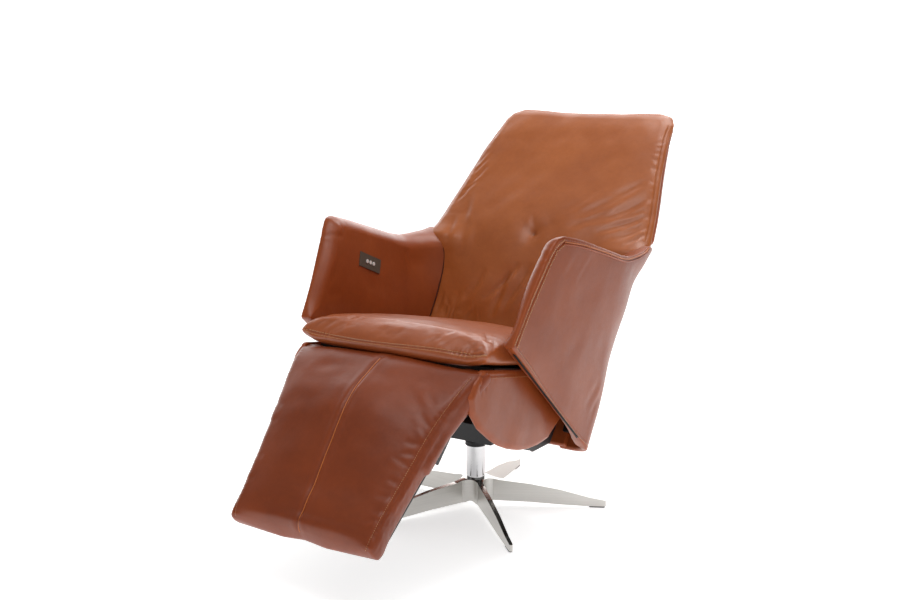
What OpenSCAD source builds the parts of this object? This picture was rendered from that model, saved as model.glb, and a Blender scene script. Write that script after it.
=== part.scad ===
// Relax armchair on a five-arm swivel base, with a power footrest and a power recline.
// Millimetres. The origin is on the floor at the swivel axis, +Z is up, the chair faces -Y,
// and left and right are the sitter's, so left is +X.

/* [Star base] */
// Reach of each arm from the swivel axis
base_reach = 345; // [330:1:360]
// Outside diameter of the column
column_d = 50; // [48:1:52]
// Thickness of an arm at the hub
arm_root_t = 16; // [14:1:18]

/* [Seat] */
// Width of the seat cushion
cushion_w = 540; // [520:2:552]
// Height of the cushion's crown above the seat frame
cushion_t = 80; // [70:1:86]
// Tilt of the seat, front edge up, in degrees
seat_tilt = 11.5; // [11:0.5:12]

/* [Back and arms] */
// Lean of the back from upright in the stored pose, in degrees
back_lean = 31; // [30:0.5:32]
// Distance between the inner faces of the two arms at the seat
arm_gap = 562; // [562:1:566]

/* [Footrest] */
// Slope of the footrest in the stored pose, in degrees from hanging straight down
footrest_slope = 45; // [44:0.5:46]

/* [Controls] */
// Diameter of a push button
button_d = 10; // [9:0.5:11]
// Distance between neighbouring buttons
button_pitch = 15; // [14:0.5:17]

/* [Hidden] */

$fn = 64;

// Star base
arm_count = 5;
first_arm_angle = 28.6;
arm_tip_t = 9;
web_r = 30;
hub_floor = 25;
hub_top = 77;
socket_floor = 39;
column_r = column_d / 2;
column_top = 168;
column_wall = 4;
pad_h = 3;

// Swivel
spindle_r = 15;
spindle_foot = 104;
bearing_top = 178;
plate_z = 186;
plate_t = 8;
beam_z = plate_z + plate_t;
beam_h = 40;
beam_front = -48;
beam_back = 36;
beam_wall = 4;
bolt_x = 55;
bolt_y = [-31, 19];
m8_r = 4;

// Chassis, in (y, z) seen from the side
recline_axis = [123, 368];
footrest_axis = [-388, 450];
side_plate_x = 196;
side_plate_t = 6;
link_x = 205;
link_t = 6;
recline_pin_r = 7;
footrest_pin_r = 5;
running = 0.05;
front_bar = [-255, 398];
rear_bar = [76, 282];
bar_r = 11;
bar_bore_r = 8.5;

// Actuators: the rear eye, the rod's pin and the plane that each one works in
motor_pin_r = 5;
eye_r = 12;
eye_w = 26;
lug_t = 4;
lug_gap = 27;
rod_r = 8;
tube_r = 15;
recline_motor_x = -60;
recline_motor_eye = [-255, 370];
recline_lever = [0, -60];
recline_eye_rise = 0.94;
recline_eye_bore = 6.6;
footrest_motor_x = 60;
footrest_motor_eye = [50, 290];
footrest_lever = [-7.1, -49.5];
footrest_eye_rise = 3.3;
footrest_eye_bore = 8.9;
gearbox_start = 20;
gearbox_end = 110;
gear_case_l = 60;

// Seat
seat_height = 413;
frame_front = -335;
frame_back = 95;
frame_low = -46;
frame_high = -4;
frame_half_w = 257.5;
frame_rail = 42;
side_rail = 71.5;
panel_in = 258;
panel_out = 278;
spring_wire_r = 1.8;
spring_sway = 20;
spring_pitch = 46;

// Back and arms, in the shell's own frame: v runs to the rear and u runs up the back
arm_in = arm_gap / 2;
arm_skin = [[-200, 301.5], [-190, 302], [-95, 309], [0, 316], [60, 323], [127, 333], [190, 345],
            [250, 358], [300, 360], [363, 345], [370, 343]];
arm_face = [[-200, 0], [0, 0], [60, 3], [190, 22], [250, 31], [300, 35], [370, 35]];
cover_levels = [-195, -150, -95, -45, 0, 60, 127, 190, 225, 250, 275, 300, 330, 366];
wing_foot = 367;
arm_pad_t = 9;
arm_board_t = 9;
arm_cover_t = 12;
shell_back = 82;
shell_corner_r = 110;
arm_front = -474;
arm_low_front = -93;
arm_low_back = -190;
arm_low_end = 40;
zip_front = -440;
zip_back = -50;
zip_w = 7;
zip_t = 1.8;
arm_rear = -30;
upright_x = 212;
upright_w = 20;
shell_bar_v = 54;
shell_bar_u = [-60, 30];
shell_bar_r = 7;
link_back = [44.5, 63.5];

// Control panel
bezel_l = 98;
bezel_h = 38;
bezel_t = 4;
bezel_at = [-300, 129];
bezel_roll = 9.4;
bezel_lean = atan(19 / 130);
button_proud = 1.6;

// Footrest, in its own frame: z runs up the pad to the hinge and y points out of its back
pad_back = 12;
board_t = 12;
footrest_bar = [34, -110];
footrest_bar_r = 9;

// Colours
leather = "sienna";
steel = "silver";
black_steel = [0.10, 0.10, 0.11];
black_plastic = [0.06, 0.06, 0.07];
birch = "burlywood";
bright = "gainsboro";

// Outline helpers
function arc(centre, r, from, to, steps) =
    [for (i = [0 : steps]) let (a = from + (to - from) * i / steps)
        [centre[0] + r * cos(a), centre[1] + r * sin(a)]];
function turned(p, a) = [p[0] * cos(a) - p[1] * sin(a), p[0] * sin(a) + p[1] * cos(a)];
function mirrored_outline(half) =
    concat(half, [for (i = [len(half) - 1 : -1 : 0]) [-half[i][0], half[i][1]]]);

// An outline drawn as (y, z) is carried across the chair from x0 to x1
module across(x0, x1) {
    translate([x0, 0, 0]) rotate([90, 0, 90]) linear_extrude(height = x1 - x0) children();
}

// An outline drawn as (x, z) is carried from y0 back to y1
module fore_aft(y0, y1) {
    translate([0, y1, 0]) rotate([90, 0, 0]) linear_extrude(height = y1 - y0) children();
}

// An outline drawn as (x, y) is carried up from z0 to z1
module upward(z0, z1) {
    translate([0, 0, z0]) linear_extrude(height = z1 - z0) children();
}

module bar_x(r, x0, x1, at) {
    translate([x0, at[0], at[1]]) rotate([0, 90, 0]) cylinder(r = r, h = x1 - x0);
}

module on_right(is_right) {
    mirror([is_right ? 1 : 0, 0, 0]) children();
}

module seat_place() {
    translate([0, 0, seat_height]) rotate([-seat_tilt, 0, 0]) children();
}

module shell_place() {
    translate([0, recline_axis[0], recline_axis[1]]) rotate([-back_lean, 0, 0]) children();
}

module footrest_place() {
    translate([0, footrest_axis[0], footrest_axis[1]]) rotate([-footrest_slope, 0, 0]) children();
}

// ---- Star base ----

module each_arm() {
    for (i = [0 : arm_count - 1]) rotate(first_arm_angle + i * 360 / arm_count) children();
}

module arm_plan() {
    polygon([[0, -arm_root_t / 2], [base_reach - 5, -arm_tip_t / 2],
             [base_reach - 5, arm_tip_t / 2], [0, arm_root_t / 2]]);
    translate([base_reach - arm_tip_t / 2, 0]) circle(d = arm_tip_t);
}

// The concave web between two neighbouring arms
module web_plan() {
    half = 180 / arm_count;
    along = (arm_root_t / 2 + web_r) / tan(half);
    difference() {
        polygon([[0, 0], turned([along, 0], -half), turned([along, 0], half)]);
        translate([(arm_root_t / 2 + web_r) / sin(half), 0]) circle(r = web_r);
    }
}

module star_base() {
    color(steel) difference() {
        intersection() {
            upward(0, hub_top + 1) each_arm() {
                arm_plan();
                rotate(180 / arm_count) web_plan();
            }
            rotate_extrude() polygon([[0, hub_floor], [28, hub_floor], [40, 14], [145, 11], [224, 6],
                [300, pad_h], [base_reach + 5, pad_h], [base_reach + 5, 18], [base_reach - 3, 20],
                [303, 27], [224, 47], [145, 61], [64, 70], [34, hub_top], [0, hub_top]]);
        }
        translate([0, 0, socket_floor]) cylinder(r = column_r + running, h = hub_top);
        translate([0, 0, hub_floor - 1]) cylinder(r = 5.25, h = socket_floor);
    }
}

module glide_pads() {
    inner = base_reach - 40;
    outer = base_reach - 7;
    color(black_plastic) each_arm() upward(0, pad_h) union() {
        translate([inner, -arm_tip_t / 2]) square([outer - inner, arm_tip_t]);
        translate([inner, 0]) circle(d = arm_tip_t);
        translate([outer, 0]) circle(d = arm_tip_t);
    }
}

module column_tube() {
    plug_t = 14;
    color(bright) difference() {
        translate([0, 0, socket_floor]) cylinder(r = column_r, h = column_top - socket_floor, $fn = 96);
        translate([0, 0, socket_floor + plug_t]) cylinder(r = column_r - column_wall, h = column_top);
        translate([0, 0, socket_floor - 1]) cylinder(r = 5.05, h = plug_t + 2);
    }
}

module column_bush() {
    color(black_plastic) difference() {
        translate([0, 0, 118]) cylinder(r = column_r - column_wall - running, h = 50);
        translate([0, 0, 117]) cylinder(r = spindle_r + running, h = 52);
    }
}

module thrust_bearing() {
    color(steel) difference() {
        translate([0, 0, column_top]) cylinder(r = column_r, h = bearing_top - column_top);
        translate([0, 0, column_top - 1]) cylinder(r = spindle_r + 0.1, h = 12);
    }
}

module column_collar() {
    color(black_plastic) difference() {
        union() {
            translate([0, 0, 165]) cylinder(r = column_r + 2.2, h = 12.5);
            for (z = [166, 173]) translate([0, 0, z]) cylinder(r = column_r + 3.2, h = 3);
        }
        translate([0, 0, 164]) cylinder(r = column_r + 0.1, h = 15);
    }
}

module base_bolt() {
    color(black_steel) union() {
        translate([0, 0, 15]) cylinder(d = 18.4, h = 7.5, $fn = 6);
        translate([0, 0, 22]) cylinder(r = 5, h = 30);
    }
}

module base_washer() {
    color(steel) difference() {
        translate([0, 0, 22.5]) cylinder(r = 12, h = 2.5);
        translate([0, 0, 22]) cylinder(r = 5.25, h = 4);
    }
}

// ---- Swivel and chassis ----

module at_bolts(z) {
    for (x = [-bolt_x, bolt_x], y = bolt_y) translate([x, y, z]) children();
}

module swivel_spindle() {
    color(steel) difference() {
        union() {
            translate([0, 0, spindle_foot]) cylinder(r = spindle_r, h = plate_z - spindle_foot);
            translate([0, 0, bearing_top + 0.1]) cylinder(r = 24, h = plate_z - bearing_top - 0.1);
        }
        translate([0, 0, 115.4]) difference() {
            cylinder(r = spindle_r + 1, h = 1.8);
            translate([0, 0, -1]) cylinder(r = spindle_r - 1.2, h = 4);
        }
    }
}

module spindle_clip() {
    color(black_steel) difference() {
        translate([0, 0, 115.5]) cylinder(r = 19, h = 1.6);
        translate([0, 0, 115]) cylinder(r = spindle_r - 1.1, h = 3);
        translate([0, -4, 115]) cube([25, 8, 3]);
    }
}

module swivel_plate() {
    color(black_steel) difference() {
        translate([-75, -46, plate_z]) cube([150, 80, plate_t]);
        at_bolts(plate_z - 1) cylinder(r = m8_r + 0.25, h = plate_t + 2);
    }
}

module plate_bolts() {
    color(steel) at_bolts(plate_z - 5.3) union() {
        cylinder(d = 15, h = 5.3, $fn = 6);
        translate([0, 0, 4]) cylinder(r = m8_r, h = 22);
    }
}

module plate_nuts() {
    color(steel) at_bolts(beam_z + beam_wall) difference() {
        cylinder(d = 15, h = 6.5, $fn = 6);
        translate([0, 0, -1]) cylinder(r = m8_r + running, h = 9);
    }
}

module cross_beam() {
    depth = beam_back - beam_front;
    length = 2 * side_plate_x;
    color(black_steel) difference() {
        translate([-side_plate_x, beam_front, beam_z]) cube([length, depth, beam_h]);
        translate([-side_plate_x - 1, beam_front + beam_wall, beam_z + beam_wall])
            cube([length + 2, depth - 2 * beam_wall, beam_h - 2 * beam_wall]);
        at_bolts(beam_z - 1) cylinder(r = m8_r + 0.25, h = beam_wall + 2);
    }
}

// Each plate carries the recline pin at the rear and the footrest pin at the front
module side_plate(is_right) {
    outer = side_plate_x + side_plate_t;
    color(black_steel) on_right(is_right) difference() {
        union() {
            across(side_plate_x, outer) polygon([[-52, beam_z], [-120, 240], [-397, 439], [-379, 461],
                [-345, 435], [84, 349], [109, 376], [138, 362], [75, 240], [36, beam_z]]);
            bar_x(14, side_plate_x, outer, footrest_axis);
            bar_x(16, side_plate_x, outer, recline_axis);
        }
        bar_x(footrest_pin_r + running, side_plate_x - 1, outer + 1, footrest_axis);
        bar_x(recline_pin_r + running, side_plate_x - 1, outer + 1, recline_axis);
        for (hole = [[-175, 350, 16], [-245, 380, 11], [-60, 255, 15], [5, 250, 13]])
            bar_x(hole[2], side_plate_x - 1, outer + 1, [hole[0], hole[1]]);
    }
}

module side_plate_left() { side_plate(false); }
module side_plate_right() { side_plate(true); }

// A pair of lugs that reach from a round bar to a pin, on each side of an eye
module clevis(x, bar, pin, outer_r) {
    first = x - lug_gap / 2 - lug_t;
    along = atan2(pin[1] - bar[1], pin[0] - bar[0]);
    reach = norm(pin - bar);
    for (x0 = [first, first + lug_gap + lug_t]) {
        across(x0, x0 + lug_t) translate(bar) rotate(along) translate([0, -outer_r])
            square([reach, 2 * outer_r]);
        bar_x(outer_r, x0, x0 + lug_t, pin);
    }
}

module drilled_bar(bar, x, pin) {
    difference() {
        union() {
            bar_x(bar_r, -side_plate_x, side_plate_x, bar);
            clevis(x, bar, pin, 9);
        }
        bar_x(bar_bore_r, -side_plate_x - 1, side_plate_x + 1, bar);
        bar_x(motor_pin_r + running, x - 25, x + 25, pin);
    }
}

module front_crossbar() {
    color(black_steel) drilled_bar(front_bar, recline_motor_x, recline_motor_eye);
}

module rear_crossbar() {
    color(black_steel) drilled_bar(rear_bar, footrest_motor_x, footrest_motor_eye);
}

module headed_pin(r, x0, x1, at, head_r) {
    bar_x(r, x0, x1, at);
    bar_x(head_r, x0, x0 + 2.4, at);
    bar_x(head_r - 1, x1 - 2, x1, at);
}

module recline_pins() {
    for (is_right = [false, true]) color(bright) on_right(is_right)
        headed_pin(recline_pin_r, 193.4, 213.3, recline_axis, 11);
}

module footrest_pins() {
    for (is_right = [false, true]) color(bright) on_right(is_right)
        headed_pin(footrest_pin_r, 193.4, 213.3, footrest_axis, 8);
}

module clevis_pin(x, at) {
    half = lug_gap / 2 + lug_t;
    color(bright) headed_pin(motor_pin_r, x - half - 2.6, x + half + 2.2, at, 8);
}

module recline_motor_pin() { clevis_pin(recline_motor_x, recline_motor_eye); }
module footrest_motor_pin() { clevis_pin(footrest_motor_x, footrest_motor_eye); }

module battery_box() {
    color(black_plastic) union() {
        translate([112, -170, 297]) cube([78, 110, 48]);
        translate([118, -164, 345]) cube([66, 98, 2]);
        for (y = [-160, -90]) translate([189, y, 305]) cube([side_plate_x - 189, 20, 32]);
    }
}

module control_box() {
    color(black_plastic) union() {
        translate([-190, -150, 302]) cube([62, 92, 36]);
        translate([-182, -142, 338]) cube([46, 76, 2]);
        for (y = [-142, -86]) translate([-side_plate_x, y, 308]) cube([side_plate_x - 189, 18, 24]);
    }
}

// ---- Seat ----

module seat_frame() {
    color(birch) seat_place() difference() {
        translate([-frame_half_w, frame_front, frame_low])
            cube([2 * frame_half_w, frame_back - frame_front, frame_high - frame_low]);
        translate([-frame_half_w + side_rail, frame_front + frame_rail, frame_low - 1])
            cube([2 * (frame_half_w - side_rail), frame_back - frame_front - 2 * frame_rail, 50]);
    }
}

// One serpentine spring wire, swept as a six-sided tube along its wave
module spring_wire(x) {
    y0 = frame_front + frame_rail;
    y1 = frame_back - frame_rail;
    rings = 45;
    sides = 6;
    points = [for (i = [0 : rings], j = [0 : sides - 1])
        let (y = y0 + (y1 - y0) * i / rings, phase = 360 * (y - y0) / spring_pitch,
             slope = spring_sway * cos(phase) * 2 * PI / spring_pitch, lean = atan(slope),
             a = 360 * j / sides)
        [x + spring_sway * sin(phase) + spring_wire_r * cos(a) * (i == 0 || i == rings ? 1 : cos(lean)),
         y - spring_wire_r * cos(a) * (i == 0 || i == rings ? 0 : sin(lean)),
         frame_high - 2.2 + spring_wire_r * sin(a)]];
    sides_faces = [for (i = [0 : rings - 1], j = [0 : sides - 1])
        [i * sides + j, i * sides + (j + 1) % sides, (i + 1) * sides + (j + 1) % sides, (i + 1) * sides + j]];
    start_cap = [[for (j = [sides - 1 : -1 : 0]) j]];
    end_cap = [[for (j = [0 : sides - 1]) rings * sides + j]];
    polyhedron(points = points, faces = concat(sides_faces, start_cap, end_cap), convexity = 8);
}

module seat_springs() {
    color(steel) seat_place() for (x = [-140 : 70 : 140]) spring_wire(x);
}

module seat_cushion() {
    w = cushion_w / 2;
    t = cushion_t;
    color(leather) seat_place() intersection() {
        upward(-1, t + 1) polygon(mirrored_outline([[w - 4, 128], [w, 100], [w, -340], [w - 4, -392],
            [w - 60, -400], [90, -405]]));
        across(-w - 1, w + 1) polygon([[-392, 0], [-403, 12], [-406, 34], [-400, 56], [-386, t - 12],
            [-330, t - 4], [-95, t], [60, t - 8], [128, t - 18], [128, 0]]);
        fore_aft(-410, 130) polygon(mirrored_outline([[w - 8, 0], [w, 12], [w, t - 30], [w - 12, t - 20],
            [w - 60, t - 9], [90, t]]));
    }
}

// The upholstered D-shaped side panels that close the mechanism in
module side_panel(is_right) {
    rear = turned([frame_back, frame_high], -seat_tilt);
    front = turned([-386, frame_high], -seat_tilt);
    color(leather) on_right(is_right) across(panel_in, panel_out)
        polygon(concat([rear + [0, seat_height], front + [0, seat_height]],
            [[-430, 445], [-442, 409], [-425, 370]],
            arc([-150, 520], 284, 216, 285, 10), [[-52, 256], [-10, 295], [45, 350]]));
}

module side_panel_left() { side_panel(false); }
module side_panel_right() { side_panel(true); }

// ---- Back and arms ----

module back_frame() {
    pin = turned(recline_lever, back_lean);
    half = upright_x + upright_w;
    board_in = arm_in + arm_pad_t;
    color(black_steel) shell_place() difference() {
        union() {
            for (x0 = [-half, upright_x]) across(x0, x0 + upright_w)
                polygon([[46, -150], [62, -150], [62, 300], [66, 500], [90, 700], [93, 722],
                    [80, 722], [73, 700], [50, 500], [46, 300]]);
            for (u = shell_bar_u) bar_x(shell_bar_r, -half, half, [shell_bar_v, u]);
            for (is_right = [false, true]) on_right(is_right) upward(-80, 15)
                polygon([[half - 1, 47], [half - 1, 60], [board_in + 7, arm_rear + 7],
                    [board_in + 7, arm_rear], [board_in - 1, arm_rear]]);
            translate([-upright_x, 78, 700]) cube([2 * upright_x, 13, 20]);
            translate([-upright_x, 49, 390]) cube([2 * upright_x, 13, 30]);
            clevis(recline_motor_x, [shell_bar_v, shell_bar_u[0]], pin, 9);
        }
        bar_x(motor_pin_r + running, recline_motor_x - 25, recline_motor_x + 25, pin);
    }
}

module hinge_arm(is_right) {
    color(black_steel) shell_place() on_right(is_right) difference() {
        union() {
            across(link_x, link_x + link_t) polygon([[0, 16], [link_back[0], 20], [link_back[0], 80],
                [link_back[1], 80], [link_back[1], -80], [link_back[0], -80], [0, -16]]);
            bar_x(16, link_x, link_x + link_t, [0, 0]);
        }
        bar_x(recline_pin_r + running, link_x - 1, link_x + link_t + 1, [0, 0]);
        for (u = shell_bar_u) bar_x(shell_bar_r + running, link_x - 1, link_x + link_t + 1, [shell_bar_v, u]);
    }
}

module hinge_arm_left() { hinge_arm(false); }
module hinge_arm_right() { hinge_arm(true); }

module back_cushion() {
    color(leather) shell_place() difference() {
        back_block();
        for (is_right = [false, true]) on_right(is_right) upward(285, wing_foot + 0.5)
            polygon([[324, 0], [297, 47], [297, 60], [400, 60], [400, 0]]);
    }
}

// The back upholstery as one slab with its wings, before the arm covers cut into its corners
module back_block() {
    intersection() {
        across(-360, 360) polygon([[6, 25], [4, 90], [-14, 150], [-26, 250], [-30, 370], [-18, 450],
            [12, 560], [42, 680], [60, 750], [72, 786], [84, 797], [98, 797], [90, 770], [71, 700],
            [48, 500], [44, 300], [44, 25]]);
        fore_aft(-50, 120) polygon(mirrored_outline([[262, 20], [270, 90], [274, 200], [276, 270],
            [300, 300], [316, 350], [320, 366], [337, 370], [326, 451], [296, 600], [272, 713],
            [262, 745], [236, 780], [190, 797]]));
        upward(20, 800) polygon(mirrored_outline([[340, 120], [340, 6], [276, 4], [200, -17], [90, -28],
            [30, -30]]));
    }
}

module rear_cover() {
    color(leather) shell_place() intersection() {
        across(-360, 360) polygon([[64, -182], [64, 300], [70, 500], [92, 700], [102, 760], [104, 797],
            [118, 790], [118, 760], [110, 700], [88, 500], [shell_back, 300], [shell_back, -182]]);
        fore_aft(50, 130) polygon(mirrored_outline(concat(
            [for (u = cover_levels) if (u < wing_foot) [rear_seam_x(u) - 1, u]],
            [[rear_seam_x(wing_foot) - 1, wing_foot], [342, wing_foot], [328, 451], [298, 600], [274, 713],
             [264, 745], [238, 780], [190, 797]])));
    }
}

function skin_x(u) = lookup(u, arm_skin);
function face_x(u) = arm_in + lookup(u, arm_face);
function rear_seam_x(u) = max(190, skin_x(u) - shell_corner_r - 6);
function cover_t(u) = min(arm_cover_t, skin_x(u) - face_x(u) - arm_pad_t - arm_board_t - 0.3);

// The side of an arm, drawn as (v, u) and pulled in by a margin
module arm_outline(margin) {
    m = margin;
    rear = shell_back;
    low_back = arm_low_back + m + 2;
    polygon([[arm_front + m, arm_low_front + m], [arm_front + m, 152], [-470 + m, 172 - m / 3],
        [-460 + m, 186 - m], [-387, 212 - m], [-286, 238 - m], [-185, 263 - m], [-137, 280 - m],
        [-93, 305 - m], [-51, 332 - m], [-20, 357 - m], [rear, 363 - m], [rear, low_back],
        [arm_low_end, low_back]]);
}

// A slab that follows the sloping inner face of an arm, from in to out millimetres behind it
module arm_slab(inner, outer) {
    heights = [-200, 0, 60, 190, 250, 300, 370];
    fore_aft(arm_front - 5, shell_back + 5) polygon(concat(
        [for (u = heights) [face_x(u) + inner, u]],
        [for (i = [len(heights) - 1 : -1 : 0]) [face_x(heights[i]) + outer, heights[i]]]));
}

module arm_pad(is_right) {
    color(leather) shell_place() on_right(is_right) difference() {
        intersection() {
            arm_slab(0, arm_pad_t);
            arm_block(3, arm_rear - 4);
        }
        if (is_right) bezel_place() translate([-2, -44, -15]) cube([16, 88, 30]);
    }
}

// The whole depth of an arm within its outline, cut off at the rear
module arm_block(margin, rear) {
    intersection() {
        across(180, 380) arm_outline(margin);
        translate([180, arm_front, -200]) cube([200, rear - arm_front, 600]);
    }
}

module arm_pad_left() { arm_pad(false); }
module arm_pad_right() { arm_pad(true); }

module arm_board(is_right) {
    color(birch) shell_place() on_right(is_right) intersection() {
        arm_slab(arm_pad_t, arm_pad_t + arm_board_t);
        arm_block(22, arm_rear);
    }
}

module arm_board_left() { arm_board(false); }
module arm_board_right() { arm_board(true); }

// One level of the outer cover: along the side, round the rear corner and in behind the back
function cover_ring(u) =
    let (x = skin_x(u), t = cover_t(u), r = shell_corner_r, corner = [x - r, shell_back - r],
         outside = arc(corner, r, 0, 90, 10), inside = arc(corner, r - t, 90, 0, 10))
    concat([[x, arm_front - 2]], outside, [[rear_seam_x(u), shell_back], [rear_seam_x(u), shell_back - t]],
        inside, [[x - t, arm_front - 2]]);

module cover_skin() {
    count = len(cover_ring(0));
    last = len(cover_levels) - 1;
    points = [for (u = cover_levels, p = cover_ring(u)) [p[0], p[1], u]];
    walls = [for (i = [0 : last - 1], j = [0 : count - 1])
        let (k = (j + 1) % count)
        each [[i * count + j, (i + 1) * count + j, i * count + k],
              [i * count + k, (i + 1) * count + j, (i + 1) * count + k]]];
    floor_face = [[for (j = [0 : count - 1]) j]];
    top_face = [[for (j = [count - 1 : -1 : 0]) last * count + j]];
    polyhedron(points = points, faces = concat(walls, floor_face, top_face), convexity = 6);
}

module arm_cover(is_right) {
    color(leather) shell_place() on_right(is_right) intersection() {
        cover_skin();
        arm_block(0, shell_back);
    }
}

module arm_cover_left() { arm_cover(false); }
module arm_cover_right() { arm_cover(true); }

// Height of the sloping underside of an arm, v along it
function arm_low(v) =
    arm_low_front + (arm_low_back - arm_low_front) * (v - arm_front) / (arm_low_end - arm_front);

// The zip under the arm, beside its inner face, where the cover is closed over the padding
module arm_zip(is_right) {
    color(black_plastic) shell_place() on_right(is_right) hull() {
        for (v = [zip_front, zip_back]) translate([face_x(arm_low(v)) + 1, v, arm_low(v) + 0.5])
            cube([zip_w, 1, zip_t]);
    }
}

module arm_zip_left() { arm_zip(false); }
module arm_zip_right() { arm_zip(true); }

// The panel's own frame lies on the sloping face of the arm: -x leaves the arm
module bezel_place() {
    translate([face_x(bezel_at[1]), bezel_at[0], bezel_at[1]]) rotate([bezel_roll, bezel_lean, 0]) children();
}

module control_bezel() {
    color(black_steel) shell_place() on_right(true) bezel_place() difference() {
        translate([-bezel_t, -bezel_l / 2, -bezel_h / 2]) cube([bezel_t, bezel_l, bezel_h]);
        for (i = [-1 : 1]) translate([-bezel_t - 1, i * button_pitch, 0]) rotate([0, 90, 0])
            cylinder(d = button_d + 0.2, h = bezel_t + 2);
    }
}

module switch_module() {
    color(black_plastic) shell_place() on_right(true) bezel_place()
        translate([1, -42, -13]) cube([7.6, 84, 26]);
}

module button(i) {
    color(bright) shell_place() on_right(true) bezel_place()
        translate([-bezel_t - button_proud, i * button_pitch, 0])
        rotate([0, 90, 0]) cylinder(d = button_d, h = bezel_t + button_proud - 0.4);
}

module button_1() { button(-1); }
module button_2() { button(0); }
module button_3() { button(1); }

module recline_rod_pin() {
    clevis_pin(recline_motor_x, recline_axis + recline_lever);
}

// ---- Actuators ----

// The frame of an actuator: its rear eye is at the origin and its rod runs along +y
module actuator_place(x, eye, target) {
    translate([x, eye[0], eye[1]]) rotate([atan2(target[1] - eye[1], target[0] - eye[0]), 0, 0]) children();
}

module eye_end(at, hole_r, outer_r) {
    difference() {
        bar_x(outer_r, -eye_w / 2, eye_w / 2, at);
        bar_x(hole_r, -eye_w, eye_w, at);
    }
}

// Gearbox with its motor slung under the tube; down is -1 where the frame is upright
module actuator_motor(down) {
    color(black_plastic) union() {
        difference() {
            union() {
                bar_x(eye_r, -eye_w / 2, eye_w / 2, [0, 0]);
                translate([-eye_w / 2, 0, -9]) cube([eye_w, gearbox_start + 2, 18]);
            }
            bar_x(motor_pin_r + running, -eye_w, eye_w, [0, 0]);
        }
        translate([-24, gearbox_start, down > 0 ? -18 : -44]) cube([48, gear_case_l, 62]);
        translate([-21, gearbox_end - 32, -17]) cube([42, 32, 34]);
        translate([0, gearbox_end - 32, down * 30]) rotate([-90, 0, 0]) cylinder(r = 14, h = 70);
    }
}

module actuator_tube(length) {
    color(steel) difference() {
        translate([0, gearbox_end, 0]) rotate([-90, 0, 0]) cylinder(r = tube_r, h = length);
        translate([0, gearbox_end + 2, 0]) rotate([-90, 0, 0]) cylinder(r = rod_r + running, h = length);
    }
}

module actuator_rod(start, length, eye_bore) {
    color(bright) difference() {
        union() {
            translate([0, start, 0]) rotate([-90, 0, 0]) cylinder(r = rod_r, h = length - start);
            bar_x(eye_r + 1.5, -eye_w / 2, eye_w / 2, [length, 0]);
        }
        bar_x(eye_bore, -eye_w, eye_w, [length, 0]);
    }
}

recline_rod_target = recline_axis + recline_lever + [0, recline_eye_rise];
footrest_rod_target = footrest_axis + footrest_lever + [0, footrest_eye_rise];

module recline_actuator() {
    actuator_place(recline_motor_x, recline_motor_eye, recline_rod_target) children();
}

module footrest_actuator() {
    actuator_place(footrest_motor_x, footrest_motor_eye, footrest_rod_target) children();
}

module recline_motor() { recline_actuator() actuator_motor(-1); }
module recline_tube() { recline_actuator() actuator_tube(150); }
module recline_rod() {
    recline_actuator() actuator_rod(132, norm(recline_rod_target - recline_motor_eye), recline_eye_bore);
}
module footrest_motor() { footrest_actuator() actuator_motor(1); }
module footrest_tube() { footrest_actuator() actuator_tube(215); }
module footrest_rod() {
    footrest_actuator() actuator_rod(155, norm(footrest_rod_target - footrest_motor_eye), footrest_eye_bore);
}

// ---- Footrest ----

module footrest_pad() {
    half_w = [[252, 14], [250, -29], [243, -79], [231, -137], [218, -250], [202, -391], [195, -438],
              [180, -454]];
    color(leather) footrest_place() difference() {
        intersection() {
            fore_aft(-90, 15) polygon(mirrored_outline(half_w));
            across(-260, 260) polygon([[-30, 12], [-43, -1], [-59, -38], [-78, -100], [-83, -148],
                [-75, -235], [-60, -327], [-53, -399], [-42, -431], [-28, -449], [0, -453],
                [pad_back, -440], [pad_back, -20], [4, 2], [-12, 12]]);
            upward(-460, 15) polygon(concat([[256, 15], [-256, 15]],
                [for (x = [-256 : 32 : 256]) [x, -84 + 48 * pow(x / 256, 2)]]));
        }
        for (x0 = [-216, 190]) translate([x0, -17, -62]) cube([26, 60, 90]);
    }
}

module footrest_board() {
    color(birch) footrest_place() fore_aft(pad_back, pad_back + board_t)
        polygon(mirrored_outline([[226, -96], [218, -137], [205, -250], [190, -391], [182, -432]]));
}

module footrest_arm(is_right) {
    rear = pad_back + board_t;
    color(black_steel) footrest_place() on_right(is_right) difference() {
        union() {
            across(link_x, link_x + link_t) polygon([[-11, -8], [rear, -54], [rear, -190], [rear + 20, -190],
                [rear + 20, -40], [10, 10]]);
            bar_x(14, link_x, link_x + link_t, [0, 0]);
        }
        bar_x(footrest_pin_r + running, link_x - 1, link_x + link_t + 1, [0, 0]);
    }
}

module footrest_arm_left() { footrest_arm(false); }
module footrest_arm_right() { footrest_arm(true); }

module footrest_crossbar() {
    pin = turned(footrest_lever, footrest_slope);
    color(black_steel) footrest_place() difference() {
        union() {
            bar_x(footrest_bar_r, -link_x, link_x, footrest_bar);
            clevis(footrest_motor_x, footrest_bar, pin, 9);
        }
        bar_x(motor_pin_r + running, footrest_motor_x - 25, footrest_motor_x + 25, pin);
    }
}

module footrest_rod_pin() {
    clevis_pin(footrest_motor_x, footrest_axis + footrest_lever);
}

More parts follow.
